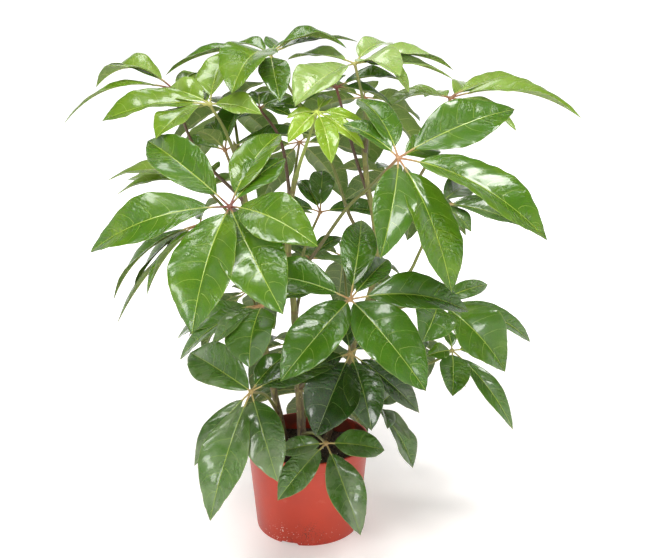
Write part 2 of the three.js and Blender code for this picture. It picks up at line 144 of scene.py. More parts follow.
LEAVES = {
    "leaf_front_left": grow("left", 540, (-109, -272, 682), (-105, 45),
        (-178, -18, 226, 80, 28), (-112, -53, 208, 102, 20, 0.07), (-54, -43, 198, 96, 20, 0.07),
        (-30, -16, 162, 80, 28), (62, 32, 180, 66), (136, 22, 222, 76), (48, 27, 135, 60),
        tone=0.62, red=1.0),
    "leaf_front_right": grow("centre", 500, (149, -212, 748), (-60, 42),
        (-105, -46, 184, 68), (-55, -55, 230, 88), (-20, -26, 262, 94, 26), (15, 20, 208, 84),
        (115, 30, 165, 66), (146, 24, 115, 52), (50, 3, 110, 50),
        via=[(3, -24, 535), (74, -62, 643), (104, -100, 679)], tone=0.58, red=0.55),
    "leaf_front_middle": grow("centre", 370, (75, -238, 526), (-85, 40),
        (-39, -39, 190, 98, 20, 0.05), (-138, -35, 178, 82, 20, 0.05), (10, -9, 200, 72, 30),
        (82, 32, 185, 62), (160, 8, 172, 72), (58, 18, 130, 50), tone=0.36, red=0.4),
    "leaf_low_left": grow("left", 225, (-91, -192, 350), (-110, 42),
        (135, 9, 172, 80, 20, 0.03), (-117, -53, 221, 82), (-66, -42, 165, 74), (14, 13, 150, 55),
        (50, 25, 100, 48), (-152, -47, 155, 46), tone=0.3, red=0.3),
    "leaf_low_front": grow("centre", 192, (36, -165, 242), (-80, 35),
        (-145, -38, 129, 56), (-57, -50, 167, 66), (10, -12, 108, 60), (-178, -12, 85, 40),
        tone=0.32, red=0.35),
    "leaf_inner_front": grow("centre", 285, (78, -120, 393), (-80, 40),
        (-124, -48, 160, 98), (-66, -52, 142, 72), (-165, -24, 120, 50), (-6, -41, 165, 50),
        (100, 20, 110, 46), (40, 8, 105, 44), tone=0.12, red=0.3),
    "leaf_inner_left": grow("left", 385, (-77, -90, 472), (-130, 40),
        (-104, -50, 118, 110, 24, 0.06), (164, -36, 203, 52), (-165, -38, 118, 42),
        (148, -26, 225, 54), (20, 8, 90, 44), tone=0.45),
    "leaf_right": grow("right", 395, (237, -60, 469), (-70, 50),
        (-23, -42, 172, 102, 24), (12, -26, 205, 42, 30), (-114, -30, 100, 78), (35, 6, 125, 36),
        (125, -14, 90, 44), tone=0.52, red=0.3),
    "leaf_low_right": grow("right", 262, (280, 38, 342), (-75, 50),
        (-95, -40, 100, 64), (-29, -47, 190, 42, 30), (-150, 0, 62, 34), (95, 25, 60, 26),
        (35, -12, 130, 52), via=[(180, 30, 300), (246, 32, 322)], tone=0.56, red=0.15),
    "leaf_low_right_front": grow("right", 215, (127, -80, 274), (-50, 55),
        (-15, -58, 135, 50, 20, 0.22), (-80, -2, 90, 40), (60, 4, 90, 36), (-45, -25, 92, 34)),
    "young_leaf": grow("centre", 680, (21, -100, 810), (-80, 35),
        (-140, -37, 78, 34), (-70, -48, 104, 40), (-20, -35, 102, 32), (12, -16, 88, 26),
        (72, 16, 74, 24), (180, -12, 52, 22), via=[(-8, -36, 722), (5, -60, 759)],
        red=0.0, young=True),
    "leaf_top_left": grow("left", 700, (-159, -80, 821), (-130, 38),
        (178, -9, 188, 76), (-130, -22, 128, 78), (77, 38, 138, 72, 14), (-19, -9, 96, 48),
        (148, 12, 98, 56), (105, 4, 110, 44), tone=0.85, red=0.05),
    "leaf_far_left": grow("left", 640, (-237, 20, 841), (-140, 10),
        (165, 0, 152, 80, 44), (-168, -17, 200, 46, 34), (148, 3, 187, 60, 34),
        (-130, -22, 97, 52, 14), (61, 9, 110, 46), (22, 7, 107, 46),
        via=[(-195, 20, 725), (-227, 16, 806)], tone=0.85, red=0.9),
    "leaf_crown": grow("right", 540, (-63, 20, 901), (-95, 10),
        (0, 4, 136, 72, 38), (22, 7, 170, 50), (-111, -22, 165, 100, 36), (137, 7, 110, 48),
        (168, -11, 201, 50, 25), (-78, -36, 130, 56), (80, 4, 130, 50),
        via=[(84, 30, 600), (45, 40, 706)], tone=0.64, red=0.2),
    "leaf_top_right": grow("right", 725, (86, 0, 885), (-85, 14),
        (-133, -24, 163, 90), (150, 2, 140, 54), (-46, -10, 108, 92, 28), (16, -4, 188, 54, 26),
        (4, -9, 178, 48), (54, 14, 125, 56, 26), (-24, -25, 112, 62, 40),
        via=[(111, 20, 777), (102, 20, 821)], tone=1.05, red=0.15),
    "leaf_top_middle": grow("right", 640, (54, 34, 843), (-90, 16),
        (-135, -14, 112, 60), (13, 4, 125, 52, 26), (10, -20, 112, 42, 24), (95, 2, 110, 50),
        (140, -5, 100, 48), via=[(94, 34, 704)], tone=0.55, red=1.0),
    "leaf_far_right": grow("right", 560, (265, 80, 821), (-65, 16),
        (-10, -8, 240, 76, 28), (24, 2, 190, 58, 30), (-28, -23, 140, 50), (-172, -8, 124, 62, 28),
        (120, -2, 80, 44), (60, 2, 150, 60), via=[(219, 50, 697), (251, 62, 768)],
        tone=0.95, red=0.7),
    "leaf_back_right": grow("right", 440, (250, 60, 626), (-60, 35),
        (-2, -16, 180, 52), (18, -13, 195, 44), (-30, -36, 80, 46), (60, 5, 140, 56),
        (110, 5, 110, 50), via=[(189, 2, 507), (205, 10, 536)], tone=0.35),
    "leaf_back_middle": grow("centre", 480, (24, 100, 603), (-80, 30),
        (88, 28, 135, 52), (18, -6, 138, 50), (112, 22, 122, 46), (165, 4, 120, 46)),
    "leaf_inner_small": grow("centre", 425, (5, 60, 520), (-60, 20),
        (50, 15, 100, 36), (0, -12, 85, 32), (130, 5, 80, 40), (155, 15, 75, 34)),
    "leaf_left": grow("left", 555, (-186, 30, 661), (-140, 22),
        (180, 4, 182, 56, 34), (168, -6, 178, 42, 28), (153, 0, 188, 50), (-143, 21, 100, 42),
        (90, 8, 140, 54), (40, 0, 110, 46), tone=0.95),
    "leaf_upper_left": grow("left", 600, (-150, 45, 729), (-150, 30),
        (-112, 24, 105, 38), (75, 32, 150, 70), (112, 22, 110, 42), (6, 8, 172, 46),
        (158, 0, 100, 44)),
    "leaf_lower_left": grow("left", 470, (-190, -30, 606), (-170, 45),
        (173, -41, 226, 48, 26), (-163, -51, 160, 54), (160, -48, 280, 42, 12),
        (154, -43, 215, 44), (80, 10, 110, 46), tone=0.6),
    "leaf_upper_middle": grow("centre", 640, (-87, 62, 804), (-90, 30),
        (-30, -10, 72, 34), (-130, -16, 66, 34), (50, 6, 90, 42), (95, 20, 70, 40),
        (140, 11, 75, 38), (-2, 2, 85, 38), via=[(-46, 6, 752)], tone=0.6, red=1.0),
}

# Leaves on the far side: stem, start, hub, and how far the leaflets are turned round it in
# degrees. They follow one rule: leaflets spread evenly round the hub, the ones that point
# out and down are longest, and each is turned a little by a seeded draw.
REAR_LEAVES = {
    "rear_leaf_low_right": ("right", 230, (190, 175, 330), 5),
    "rear_leaf_low_middle": ("centre", 215, (-40, 200, 300), 30),
    "rear_leaf_low_left": ("left", 300, (-120, 165, 430), 15),
    "rear_leaf_middle": ("right", 330, (70, 245, 480), 20),
    "rear_leaf_left": ("left", 430, (-125, 235, 560), 0),
    "rear_leaf_right": ("right", 500, (185, 215, 650), 10),
    "rear_leaf_upper_middle": ("centre", 560, (-20, 255, 720), 25),
    "rear_leaf_upper_left": ("left", 680, (-150, 185, 800), 8),
    "rear_leaf_upper_right": ("right", 690, (110, 190, 815), 18),
    "rear_leaf_foot": ("centre", 196, (5, 130, 218), 10),
}
REAR_SEED = 50
REAR_LEAFLETS = 6
REAR_TURN_CHANGE = 16
REAR_TILT = 38
REAR_DROOP = 14
REAR_DROOP_CHANGE = 8
REAR_REACH = 155
REAR_REACH_CHANGE = 35
REAR_WIDTH_SHARE = 0.4

# A leaf that has no tone of its own follows the height of its hub: from the first tone at
# the first height, in metres, to the second tone at the second. Low leaves, many of them
# inner and rear ones, are so darker, partly as painted shade.
TONE_HEIGHTS = (0.25, 0.9)
HEIGHT_TONES = (0.2, 0.7)
TONE_CHANGE = 0.16              # between the leaflets of a leaf

# Dull leaves get a pale film, partly dust and partly painted sheen, but not those round this place,
# up to a reach from it in metres.
FILM_FREE_MIDDLE = (0.07, -0.24, 0.46)
FILM_FREE_REACH = 0.34

# The two dirtiest places on the pot, and how far the dirt reaches, in metres.
DUST_PATCH = ((-0.046, -0.090, 0.010), 0.045)
DIRT_PATCH = ((0.002, -0.102, 0.018), 0.055)

CAMERA_PLACE = (0.041, -1.620, 0.930)
CAMERA_DIP = 15                 # degrees below the level
CAMERA_LENS = 49.4

FLOOR_RADIUS = 40
FLOOR_SIDES = 96
FLOOR_DROP = 0.2                # millimetres below the pot's foot
FLOOR_GLOW = 0.28               # how much the floor glows by itself near the plant
FLOOR_FADE = (0.6, 2.6)         # metres from the pot over which the glow grows to white
HORIZON_LIGHT = 1.02            # strength of the room round the horizon
WALL_LIGHT = 1.1                # and behind the plant
CEILING_LIGHT = 0.15

# Each soft box: its place, its size in metres, its watts and its tint. They look at LIT.
LIT = (0, 0, 0.5)
WARM, NEUTRAL = (1.0, 0.99, 0.97), (1.0, 1.0, 1.0)
LIGHTS = {
    "right_light": ((1.3, -1.2, 4.2), 1.2, 110, WARM),
    "left_light": ((-1.2, -1.9, 3.9), 1.5, 105, WARM),
    "front_light": ((-0.3, -3.8, 1.75), 1.0, 45, NEUTRAL),
    "back_light": ((-0.75, 1.4, 4.3), 1.5, 45, NEUTRAL),
}

# ------------------------------------------------------------------ small maths


def unit(vectors):
    """Each vector divided by its own length."""
    return vectors / np.linalg.norm(vectors, axis=-1, keepdims=True)


def draw(seed):
    """A number from 0 to 1, the same each run for the same seed: the fraction of a large sine."""
    return np.modf(np.abs(np.sin(np.asarray(seed) * 127.1 + 311.7) * 43758.5453))[0]


def direction(heading, rise):
    """The unit vector at a compass heading and a rise above the level, both in degrees."""
    turn, lift = math.radians(heading), math.radians(rise)
    return np.array([math.cos(turn) * math.cos(lift), math.sin(turn) * math.cos(lift),
        math.sin(lift)])


def smoothstep(low, high, value):
    """0 below low, 1 above high, and the cubic 3t^2 - 2t^3 between them."""
    t = np.clip((value - low) / (high - low), 0, 1)
    return t * t * (3 - 2 * t)


def bell(value, middle, width):
    """1 at the middle and less on both sides: e to the power -((value - middle) / width)^2."""
    return np.exp(-((value - middle) / width) ** 2)


def crowded(t, amount):
    """Even shares from 0 to 1 drawn towards both ends: t mixed with half a cosine wave."""
    return (1 - amount) * t + amount * (0.5 - 0.5 * np.cos(np.pi * t))


def full_turn(count):
    """So many angles, even round a circle."""
    return np.linspace(0, 2 * np.pi, count, endpoint=False)


def spokes(turn, side, upper):
    """The directions at angles from side to upper: cos turn x side + sin turn x upper."""
    return np.cos(turn)[..., None] * side + np.sin(turn)[..., None] * upper


def read_line(line, at, wanted):
    """Points on a line where at, one value for each of its points, has the wanted values."""
    return np.column_stack([np.interp(wanted, at, line[:, axis]) for axis in range(3)])


def smooth_curve(places, count):
    """A centripetal Catmull-Rom curve through places, as count points evenly spaced along it.

    Each span is the cubic that leaves and arrives along the slopes of the curve when its
    parameter runs with the square root of the distance between places."""
    places = np.asarray(places, float)
    knots = np.vstack([2 * places[0] - places[1], places, 2 * places[-1] - places[-2]])
    gaps = np.sqrt(np.linalg.norm(np.diff(knots, axis=0), axis=1))[:, None]
    a, b, c, d = knots[:-3], knots[1:-2], knots[2:-1], knots[3:]
    ab, bc, cd = gaps[:-2], gaps[1:-1], gaps[2:]
    leave = bc * ((b - a) / ab - (c - a) / (ab + bc) + (c - b) / bc)
    arrive = bc * ((c - b) / bc - (d - b) / (bc + cd) + (d - c) / cd)
    t = np.linspace(0, 1, 24)[None, :, None]
    b, c, leave, arrive = (v[:, None] for v in (b, c, leave, arrive))
    spans = (b + leave * t + (3 * (c - b) - 2 * leave - arrive) * t**2
        + (2 * (b - c) + leave + arrive) * t**3)
    line = spans.reshape(-1, 3)
    travelled = np.concatenate([[0], np.cumsum(np.linalg.norm(np.diff(line, axis=0), axis=1))])
    return read_line(line, travelled, np.linspace(0, travelled[-1], count))


def path_frames(path):
    """Side and upper directions at each point of a path, square to it.

    The side stays close to the level line that is square to the path's chord, so a path
    that bends in its own upright plane isn't twisted."""
    forward = unit(np.gradient(path, axis=0))
    level = np.cross(UP, path[-1] - path[0])
    if np.linalg.norm(level) < 1e-6:
        level = np.array([1.0, 0.0, 0.0])
    side = unit(level - forward * (forward @ level)[:, None])
    return side, np.cross(forward, side)


# ------------------------------------------------------------------ skins


def put(name, data):
    """A new object in the scene, made of this data."""
    made = bpy.data.objects.new(name, data)
    bpy.context.scene.collection.objects.link(made)
    return made


class Skin:
    """Points and faces gathered for one piece, with named values at each point."""

    def __init__(self, *value_names):
        self.value_names = value_names
        self.points, self.values = [], []
        self.faces = {3: [], 4: []}
        self.count = 0

    def add_points(self, points, values):
        """Adds points with their values, and returns the numbers that the points get."""
        points = points.reshape(-1, 3)
        table = [np.broadcast_to(values.get(name, 0.0), len(points)) for name in self.value_names]
        self.points.append(points)
        self.values.append(np.reshape(table, (len(table), len(points))).T)
        self.count += len(points)
        return np.arange(self.count - len(points), self.count)

    def add_faces(self, faces, finish):
        """Adds faces of three or four corners, all with one finish number or one each."""
        corners = faces.shape[-1]
        faces = faces.reshape(-1, corners)
        self.faces[corners].append((faces, np.broadcast_to(finish, len(faces))))

    def add_rings(self, rings, first, last, finish=0, **values):
        """A closed skin over rings of points, drawn together at both ends to first and last.

        rings is rings x points x 3. Each ring turns right-handed about the way the rings
        go, so faces look outwards. finish is one number, or one for each column of faces.
        A value is one number, one a ring as a column, or one a point."""
        shape = rings.shape[:2]
        flat = {name: np.broadcast_to(value, shape).ravel() for name, value in values.items()}
        ends = {name: np.broadcast_to(value, shape)[[0, -1], 0] for name, value in values.items()}
        grid = self.add_points(rings, flat).reshape(shape)
        poles = self.add_points(np.array([first, last]), ends)
        ahead = np.roll(grid, -1, axis=1)
        faces = np.stack([grid[:-1], ahead[:-1], ahead[1:], grid[1:]], axis=-1)
        column_finish = np.broadcast_to(finish, shape[1])
        self.add_faces(faces, np.tile(column_finish, shape[0] - 1))
        first, last = (np.broadcast_to(pole, shape[1]) for pole in poles)
        self.add_faces(np.stack([first, ahead[0], grid[0]], axis=-1), column_finish)
        self.add_faces(np.stack([last, grid[-1], ahead[-1]], axis=-1), column_finish)

    def add_tube(self, path, radius, sides, finish=0, **values):
        """A round tube along a path, with one radius or one a point: path + radius x spokes.
        Its ends are flat."""
        side, upper = path_frames(path)
        around = spokes(full_turn(sides), side[:, None], upper[:, None])
        rings = path[:, None] + np.reshape(radius, (-1, 1, 1)) * around
        self.add_rings(rings, path[0], path[-1], finish, **values)

    def make(self, name, finishes, node):
        """The Blender piece: it rides on the root body and stands for a CAD node."""
        quads, quad_finish = (np.concatenate(part) for part in zip(*self.faces[4]))
        triangles, triangle_finish = (np.concatenate(part) for part in zip(*self.faces[3]))
        corners = np.concatenate([quads.ravel(), triangles.ravel()])
        finish = np.concatenate([quad_finish, triangle_finish])
        sizes = np.repeat([4, 3], [len(quads), len(triangles)])
        mesh = bpy.data.meshes.new(name)
        mesh.vertices.add(self.count)
        mesh.loops.add(sizes.sum())
        mesh.polygons.add(len(sizes))
        for owner, key, numbers, kind in [
            (mesh.vertices, "co", np.concatenate(self.points).ravel(), np.float32),
            (mesh.loops, "vertex_index", corners, np.int32),
            (mesh.polygons, "loop_start", np.cumsum(sizes) - sizes, np.int32),
            (mesh.polygons, "material_index", finish, np.int32),
            (mesh.polygons, "use_smooth", np.ones(len(sizes)), bool),
        ]:
            owner.foreach_set(key, np.asarray(numbers, kind))
        mesh.update(calc_edges=True)
        for value_name, values in zip(self.value_names, np.concatenate(self.values).T):
            layer = mesh.attributes.new(value_name, "FLOAT", "POINT")
            layer.data.foreach_set("value", values.astype(np.float32))
        for material in finishes:
            mesh.materials.append(material)
        piece = put(name, mesh)
        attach(piece, "root")
        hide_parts(node)


# ------------------------------------------------------------------ shader sums


class Term:
    """A socket that takes part in sums: + - * and / on it add Math nodes."""

    def __init__(self, finish, socket):
        self.finish = finish
        self.socket = socket

    def maths(self, operation, *terms):
        """One Math node on the terms given."""
        return self.finish.node("ShaderNodeMath", {"operation": operation}, dict(enumerate(terms)))

    def __add__(self, other):
        return self.maths("ADD", self, other)

    def __sub__(self, other):
        return self.maths("SUBTRACT", self, other)

    def __rsub__(self, other):
        return self.maths("SUBTRACT", other, self)

    def __mul__(self, other):
        return self.maths("MULTIPLY", self, other)

    def __truediv__(self, other):
        return self.maths("DIVIDE", self, other)

    __radd__ = __add__
    __rmul__ = __mul__


def linear(red, green, blue):
    """A display colour, 0 to 255 a channel, as the linear colour that sockets take."""
    share = np.array([red, green, blue]) / 255
    curve = np.where(share < 0.04045, share / 12.92, ((share + 0.055) / 1.055) ** 2.4)
    return (*curve.tolist(), 1.0)


class Finish:
    """The nodes of a material, or of the room. node() adds any node, and wear() puts the
    results on the shader. Colours are display colours, 0 to 255 a channel."""

    def __init__(self, name, kind=bpy.data.materials, shader="Principled BSDF", place="Object"):
        self.owner = kind.new(name)
        self.owner.use_nodes = True
        self.tree = self.owner.node_tree
        self.shader = self.tree.nodes[shader]
        self.place = self.node("ShaderNodeTexCoord", output=place)

    def node(self, kind, settings=None, sockets=None, output=0):
        """A node of a kind: its settings, then a value or a link for each named socket."""
        made = self.tree.nodes.new(kind)
        for name, value in (settings or {}).items():
            setattr(made, name, value)
        self.fill(made, sockets or {})
        return Term(self, made.outputs[output])

    def fill(self, node, sockets):
        """Gives each socket its value, or a link where the value is a Term."""
        for name, value in sockets.items():
            if isinstance(value, Term):
                self.tree.links.new(value.socket, node.inputs[name])
            else:
                node.inputs[name].default_value = value

    def value(self, name):
        """What the piece holds at each point under this name."""
        return self.node("ShaderNodeAttribute", {"attribute_name": name}, output="Fac")

    def along(self, axis):
        """The place along X, Y or Z."""
        return self.node("ShaderNodeSeparateXYZ", {}, {"Vector": self.place}, axis)

    def distance(self, place, start=(0, 0, 0)):
        """How far a place is from a start."""
        return self.node("ShaderNodeVectorMath", {"operation": "DISTANCE"}, {0: place, 1: start},
            "Value")

    def noise(self, scale, detail=2, place=None):
        """Cloudy noise from about 0.3 to 0.7, its lumps about 1/scale metres across."""
        return self.node("ShaderNodeTexNoise", {}, {"Vector": place or self.place,
            "Scale": scale, "Detail": detail, "Roughness": 0.55})

    def stretched(self, *stretch):
        """Object coordinates with each axis multiplied by its stretch."""
        return self.node("ShaderNodeMapping", {}, {"Vector": self.place, "Scale": stretch})

    def step(self, term, low, high, below=0.0, above=1.0):
        """Changes softly from below at low to above at high, whichever of them is higher."""
        return self.node("ShaderNodeMapRange", {"interpolation_type": "SMOOTHSTEP"},
            {"Value": term, "From Min": low, "From Max": high, "To Min": below, "To Max": above})

    def cells(self, scale, feature="F1", place=None):
        """Distance to the nearest cell centre, or to the nearest cell edge."""
        return self.node("ShaderNodeTexVoronoi", {"feature": feature},
            {"Vector": place or self.place, "Scale": scale}, "Distance")

    def net(self, scale, width):
        """1 on the edges of cells and 0 inside them."""
        return self.step(self.cells(scale, "DISTANCE_TO_EDGE"), width, 0.0)

    def patch(self, place, reach):
        """1 at a place in metres, and 0 beyond its reach."""
        return self.step(self.distance(self.place, place), reach, 0.0)

    def layers(self, base, *coats):
        """A colour with coats over it in turn, each of a share and a colour."""
        for share, paint in coats:
            ends = [linear(*end) if isinstance(end, tuple) else end for end in (base, paint)]
            base = self.node("ShaderNodeMix", {"data_type": "RGBA"},
                {0: share, 6: ends[0], 7: ends[1]}, 2)
        return base

    def bump(self, height, depth, under=None):
        """A normal from a height that runs from 0 to 1, depth metres deep."""
        sockets = {"Height": height, "Distance": depth, "Strength": 1.0}
        if under:
            sockets["Normal"] = under
        return self.node("ShaderNodeBump", {}, sockets)

    def wear(self, **sockets):
        """Sets the shader's sockets, whose names are written with _ for a space."""
        self.fill(self.shader, {name.replace("_", " "): v for name, v in sockets.items()})
        return self.owner


# ------------------------------------------------------------------ finishes

PAINTED_SHEEN_GREEN = (150, 170, 112)
LEAF_DUST_AND_SHEEN = (180, 190, 156)
DULL_VEIN = (112, 134, 62)
BRICK = (164, 43, 17), (176, 49, 20)        # the pot's plastic, in two shades
SOIL_STAIN_AND_SHADE = (60, 34, 22)
BLACK, WHITE = (0, 0, 0), (255, 255, 255)

# Light passes a little way through a blade, green further than red or blue.
TRANSLUCENT = dict(Subsurface_Weight=0.12, Subsurface_Radius=(0.4, 1.0, 0.15),
    Subsurface_Scale=0.002)


def vein_line(skin, near, far):
    """1 on a side vein and 0 between them. vein counts veins along the blade, so a vein is
    where it is whole; the line is near wide at the midrib and far at the margin."""
    wander = (skin.noise(90) - 0.5) * 0.12
    fraction = skin.value("vein").maths("FRACT", skin.value("vein") + wander)
    off_vein = 0.5 - fraction.maths("ABSOLUTE", fraction - 0.5)
    width = near + (far - near) * skin.value("across")
    return skin.step(off_vein / width, 1.0, 0.2)


def rib_line(skin, base, tip):
    """1 on the midrib, which narrows from base to tip, both half widths in millimetres."""
    width = base + (tip - base) * skin.value("along")
    return skin.step(skin.value("rib") / width, 1.15, 0.75)


def leaf_top_finish(name, deep, mid, bright, vein):
    """The glossy upper face: green by tone, with a painted milky sheen on the brightest tones,
    a pale film on dull leaves that is partly dust and partly painted sheen, pale veins and
    margin, and fine ripples across the run of the veins."""
    skin = Finish(name)
    across = skin.value("across")
    patches = skin.noise(19, 3)
    grain = skin.noise(420, 3)
    side_vein = vein_line(skin, 0.03, 0.02)
    midrib = rib_line(skin, 0.95, 0.35)
    net = skin.net(260, 0.10)
    tone = skin.value("tone") + (patches - 0.5) * 0.55 + (grain - 0.5) * 0.12
    # A pale film on dull leaves: partly dust, partly a painted sheen.
    dust_and_sheen_film = skin.step(tone, 0.62, 0.25) * skin.step(skin.noise(22, 4), 0.30, 0.72)
    dust_and_sheen_film = dust_and_sheen_film * skin.step(skin.patch(FILM_FREE_MIDDLE, FILM_FREE_REACH), 0.5, 0.2)
    # From a tone of 0.75 up, a pale milky green is mixed in: a painted sheen.
    green = skin.layers(deep, (skin.step(tone, 0.0, 0.5), mid), (skin.step(tone, 0.5, 1.0), bright),
        (skin.step(tone, 0.75, 1.4), PAINTED_SHEEN_GREEN), (dust_and_sheen_film * 0.25, LEAF_DUST_AND_SHEEN), (net * 0.05, vein))
    vein = skin.layers(DULL_VEIN, (skin.step(tone, 0.0, 0.6), vein))
    green = skin.layers(green, (side_vein * (0.42 - 0.3 * across), vein),
        (skin.step(across, 0.972, 0.99) * 0.4, vein), (midrib * 0.75, vein))
    count = skin.value("vein") + (skin.noise(70, 3) - 0.5) * 1.1
    ripple = count.maths("COSINE", count * (5 * math.pi))
    crinkle = ripple * skin.step(skin.noise(18), 0.46, 0.62)
    raised = skin.bump(crinkle * 1.5 + skin.noise(120, 3) * 1.2, 0.0004)
    raised = skin.bump(net * -0.4 + grain, 0.00008, raised)
    rough = 0.24 + (patches - 0.5) * 0.24 + side_vein * 0.08 + midrib * 0.12 + dust_and_sheen_film * 0.12
    return skin.wear(Base_Color=green, Roughness=rough, Normal=raised, Specular_IOR_Level=0.36,
        Coat_Weight=0.42, Coat_Roughness=0.09, **TRANSLUCENT)


def leaf_under_finish(name, deep, pale, vein):
    """The matt lower face: greyer and paler, with veins that stand out."""
    skin = Finish(name)
    patches = skin.noise(24, 3)
    side_vein = vein_line(skin, 0.07, 0.04)
    net = skin.net(230, 0.14)
    tone = skin.value("tone") + (patches - 0.5) * 0.6
    green = skin.layers(deep, (skin.step(tone, 0.1, 1.0), pale), (net * 0.22, vein),
        (side_vein * 0.6, vein), (rib_line(skin, 1.5, 0.6) * 0.85, vein))
    return skin.wear(Base_Color=green, Roughness=0.55 + (patches - 0.5) * 0.15,
        Normal=skin.bump(side_vein + net * 0.35, 0.0004), **TRANSLUCENT)


def stalk_finish(name, foot, green, pale):
    """Petioles and leaflet stalks. tone is the place along them: 0 at the stem, 1 at the
    hub, and on to 2 where the blade begins. red is how much they blush."""
    skin = Finish(name)
    streaks = skin.noise(1, 3, skin.stretched(420, 420, 60))
    flecks = skin.noise(650, 2)
    place = skin.value("tone") + (streaks - 0.5) * 0.35
    blush = skin.value("red") + (streaks - 0.5) * 0.3
    middle = skin.layers(green, (skin.step(blush, 0.4, 1.0), (82, 56, 42)))
    end = skin.layers(pale, (skin.step(blush, 0.0, 0.55), (158, 116, 78)),
        (skin.step(blush, 0.5, 1.0), (104, 52, 40)))
    stalk = skin.layers(foot, (skin.step(place, 0.0, 0.5), middle),
        (skin.step(place, 0.75, 1.05), end), (skin.step(place, 1.3, 1.95) * 0.8, pale),
        (skin.step(flecks, 0.60, 0.68) * 0.35, (165, 150, 96)))
    raised = skin.bump(streaks + flecks * 0.5, 0.0003)
    return skin.wear(Base_Color=stalk, Roughness=0.45 + (flecks - 0.5) * 0.3, Normal=raised)


def bark_finish():
    """Young stems: olive with grey-brown skin low down, darkened there partly as painted shade,
    streaks, and pale raised pores.
    """
    skin = Finish("stem_bark")
    streaks = skin.noise(1, 4, skin.stretched(260, 260, 34))
    pores = skin.cells(190, place=skin.stretched(1, 1, 0.55))
    pore = skin.step(pores + (skin.noise(120) - 0.5) * 0.5, 0.20, 0.10)
    green = skin.layers((92, 96, 44), (skin.step(streaks, 0.35, 0.65), (128, 126, 66)))
    # Grey-brown bark low down, darkened to stand for the shade under the leaves: partly painted
    # shade.
    brown = skin.layers((66, 52, 34), (skin.step(streaks, 0.38, 0.62), (106, 88, 60)))
    low = skin.step(skin.along("Z") + (streaks - 0.5) * 0.3, 0.46, 0.14)
    bark = skin.layers(green, (low, brown), (skin.value("tone") * 0.75, (96, 66, 42)),
        (pore * 0.7, (170, 158, 118)))
    raised = skin.bump(streaks * 0.8 + pore * 0.6, 0.0007)
    return skin.wear(Base_Color=bark, Roughness=0.62 + (streaks - 0.5) * 0.4, Normal=raised)


def pot_finish():
    """Satin moulded plastic: faint clouding, specks of dust and dirt near the foot, and a dark
    soil stain on the inside, which is partly painted shade. The inside is where the distance
    from the axis is less than the wall's."""
    skin = Finish("pot_plastic")
    height = skin.along("Z")
    clouds = skin.noise(11, 3)
    smudge = skin.step(skin.noise(34, 4), 0.62, 0.80)
    specks = skin.cells(210) + (skin.noise(70) - 0.5) * 0.5
    dust = (skin.step(specks, 0.13, 0.07) * skin.step(height, 0.062, 0.004)
        + skin.step(specks, 0.26, 0.16) * skin.patch(*DUST_PATCH))
    grit = skin.cells(320) + (skin.noise(40) - 0.5) * 0.8
    dirt = (skin.step(grit, 0.13, 0.07) * skin.step(height, 0.05, 0.0)
        + skin.step(grit, 0.34, 0.2) * skin.patch(*DIRT_PATCH))
    taper = (RIM_RADIUS - RIM_STEP - FOOT_RADIUS) / POT_HEIGHT
    radius = skin.distance(skin.stretched(1, 1, 0))
    depth = (FOOT_RADIUS - 0.5 * POT_WALL) * MM + height * taper - radius
    # The dark inside wall: partly soil stain, partly painted shade.
    inside = skin.step(depth, 0.0, 0.0006) * skin.step(skin.noise(30, 3), 0.25, 0.6)
    plastic = skin.layers(BRICK[0], (skin.step(clouds, 0.3, 0.7), BRICK[1]),
        (smudge * 0.12, (222, 168, 146)), (dust * 0.7, (226, 214, 200)),
        (dirt * 0.85, (52, 38, 28)), (inside * 0.8, SOIL_STAIN_AND_SHADE))
    raised = skin.bump(skin.noise(900, 2) + skin.noise(60) * 2, 0.00012)
    rough = 0.38 + (clouds - 0.5) * 0.2 + smudge * 0.2 + dust * 0.3
    return skin.wear(Base_Color=plastic, Roughness=rough, Normal=raised)


def soil_finish():
    """Damp potting soil, light by grain: dark peat, brown fibre and a few pale crumbs."""
    skin = Finish("potting_soil")
    lumps = skin.noise(240, 4)
    grain = skin.value("grain")
    share = skin.step(lumps + (grain - 0.5) * 0.3, 0.38, 0.66)
    earth = skin.layers((30, 22, 17), (share, (74, 54, 38)),
        (skin.step(grain, 0.965, 0.975), (206, 198, 182)))
    raised = skin.bump(lumps + skin.noise(900, 2) * 0.4, 0.0016)
    return skin.wear(Base_Color=earth, Roughness=0.86 + (lumps - 0.5) * 0.2, Normal=raised)


# ------------------------------------------------------------------ pot and soil


def wall_radius(height):
    """Outside of the pot's plain wall at a height: a straight taper from foot to rim."""
    return FOOT_RADIUS + (RIM_RADIUS - RIM_STEP - FOOT_RADIUS) * height / POT_HEIGHT


def rounded(corners, steps=5):
    """A profile with its corners (radius, height, rounding) drawn as short arcs: each is
    the parabola from rounding before the corner to rounding after it."""
    places = np.array([corner[:2] for corner in corners], float)
    before = np.vstack([places[:1], places[:-1]])
    after = np.vstack([places[1:], places[-1:]])
    reach = np.array([corner[2] for corner in corners], float)[:, None]

    def towards(other):
        way = other - places
        return way / np.maximum(np.linalg.norm(way, axis=1, keepdims=True), 1e-9)

    start = places + towards(before) * reach
    end = places + towards(after) * reach
    t = np.linspace(0, 1, steps)[None, :, None]
    arcs = start[:, None] * (1 - t) ** 2 + places[:, None] * 2 * t * (1 - t) + end[:, None] * t**2
    return np.concatenate([arc if corner[2] else arc[:1] for arc, corner in zip(arcs, corners)])


def lathe(profile, sides, lift=None):
    """Rings about the vertical axis from (radius, height) places in millimetres."""
    turn = full_turn(sides)[None]
    radius, height = profile[:, :1], profile[:, 1:]
    rings = np.stack([radius * np.cos(turn), radius * np.sin(turn),
        height + np.zeros_like(turn)], axis=-1)
    if lift is not None:
        rings[..., 2] += lift(radius, height, turn)
    return rings * MM


